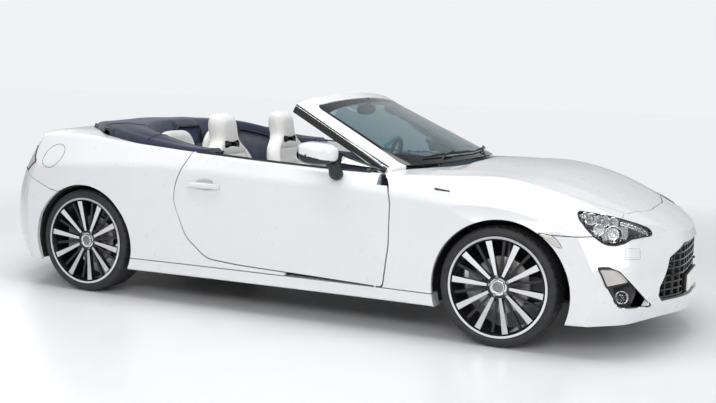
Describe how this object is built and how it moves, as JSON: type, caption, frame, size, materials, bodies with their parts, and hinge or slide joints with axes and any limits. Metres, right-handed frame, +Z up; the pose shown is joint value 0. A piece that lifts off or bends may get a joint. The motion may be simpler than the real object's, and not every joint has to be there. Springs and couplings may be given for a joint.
{
  "type": "open two-plus-two roadster",
  "caption": "Open white two-plus-two roadster, roof folded under a navy soft cover, with working doors, lids, steering and wheels.",
  "frame": {"origin": "middle of the car's length and width, on the ground under the tyres", "axes": "+X towards the nose, +Y towards the car's left side, +Z up"},
  "size_m": [4.2434, 2.07, 1.238],
  "materials": {
    "body_paint": "gloss pearl white",
    "lamp_clear": "clear",
    "lamp_rear": "clear over red",
    "glass_tint": "tinted",
    "tub_grey": "satin",
    "trim_black": "satin",
    "trim_navy": "grained",
    "canvas_navy": "woven",
    "tyre_rubber": "matt",
    "rim_alloy": "machined",
    "disc_iron": "turned",
    "cast_grey": "as cast",
    "exhaust_steel": "brushed",
    "leather_white": "smooth"
  },
  "bodies": {
    "body": {"wing_left": "body_paint", "wing_right": "body_paint", "quarter_left": "body_paint", "quarter_right": "body_paint", "sill_left": "body_paint", "sill_right": "body_paint", "front_bumper": "body_paint", "rear_bumper": "body_paint", "headlamps": "lamp_clear", "fog_lamps": "trim_black", "tail_lamps": "lamp_rear", "windscreen_frame": "body_paint", "windscreen_glass": "glass_tint", "floor_tub": "tub_grey", "scuttle_panel": "trim_black", "soft_top_cover": "canvas_navy", "grille": "trim_black", "front_subframe": "cast_grey", "rear_subframe": "cast_grey", "engine": "cast_grey", "exhaust": "exhaust_steel", "seat_left": "leather_white", "seat_right": "leather_white", "seat_runners": "cast_grey", "rear_seat": "leather_white", "dashboard": "trim_navy", "centre_console": "trim_navy"},
    "bonnet_body": {"bonnet": "body_paint"},
    "boot_lid_body": {"boot_lid": "body_paint"},
    "door_left_body": {"door_left": "body_paint", "mirror_left": "body_paint"},
    "door_right_body": {"door_right": "body_paint", "mirror_right": "body_paint"},
    "knuckle_left_body": {"knuckle_left": "cast_grey"},
    "knuckle_right_body": {"knuckle_right": "cast_grey"},
    "steering_wheel_body": {"steering_wheel": "leather_white"},
    "wheel_front_left": {"tyre_front_left": "tyre_rubber", "rim_front_left": "rim_alloy", "brake_disc_front_left": "disc_iron"},
    "wheel_front_right": {"tyre_front_right": "tyre_rubber", "rim_front_right": "rim_alloy", "brake_disc_front_right": "disc_iron"},
    "wheel_rear_left": {"tyre_rear_left": "tyre_rubber", "rim_rear_left": "rim_alloy", "brake_disc_rear_left": "disc_iron"},
    "wheel_rear_right": {"tyre_rear_right": "tyre_rubber", "rim_rear_right": "rim_alloy", "brake_disc_rear_right": "disc_iron"}
  },
  "joints": [
    {"name": "bonnet_hinge", "type": "hinge", "parent": "body", "child": "bonnet_body", "pos_m": [0.6, 0, 0.846], "axis": [0, -1, 0], "range_deg": [0, 50]},
    {"name": "boot_lid_hinge", "type": "hinge", "parent": "body", "child": "boot_lid_body", "pos_m": [-1.736, 0, 0.958], "axis": [0, 1, 0], "range_deg": [0, 65]},
    {"name": "door_left_hinge", "type": "hinge", "parent": "body", "child": "door_left_body", "pos_m": [0.6, 0.846, 0.25], "axis": [0, 0, -1], "range_deg": [0, 65]},
    {"name": "door_right_hinge", "type": "hinge", "parent": "body", "child": "door_right_body", "pos_m": [0.6, -0.846, 0.25], "axis": [0, 0, 1], "range_deg": [0, 65]},
    {"name": "steer_left", "type": "hinge", "parent": "body", "child": "knuckle_left_body", "pos_m": [1.27, 0.7, 0.19], "axis": [-0.0153, -0.2108, 0.9774], "range_deg": [-33, 33]},
    {"name": "steer_right", "type": "hinge", "parent": "body", "child": "knuckle_right_body", "pos_m": [1.27, -0.7, 0.19], "axis": [-0.0153, 0.2108, 0.9774], "range_deg": [-33, 33]},
    {"name": "steering_wheel_turn", "type": "hinge", "parent": "body", "child": "steering_wheel_body", "pos_m": [0.425, -0.37, 0.833], "axis": [-0.9135, 0, 0.4067], "range_deg": [-462, 462]},
    {"name": "wheel_front_left_spin", "type": "hinge", "parent": "knuckle_left_body", "child": "wheel_front_left", "pos_m": [1.27, 0.862, 0.3088], "axis": [0, 1, 0], "continuous": true},
    {"name": "wheel_front_right_spin", "type": "hinge", "parent": "knuckle_right_body", "child": "wheel_front_right", "pos_m": [1.27, -0.862, 0.3088], "axis": [0, 1, 0], "continuous": true},
    {"name": "wheel_rear_left_spin", "type": "hinge", "parent": "body", "child": "wheel_rear_left", "pos_m": [-1.3, 0.862, 0.3088], "axis": [0, 1, 0], "continuous": true},
    {"name": "wheel_rear_right_spin", "type": "hinge", "parent": "body", "child": "wheel_rear_right", "pos_m": [-1.3, -0.862, 0.3088], "axis": [0, 1, 0], "continuous": true}
  ],
  "couplings": [
    {"joint": "steer_right", "follows": "steer_left", "ratio": 1},
    {"joint": "steering_wheel_turn", "follows": "steer_left", "ratio": 14}
  ]
}
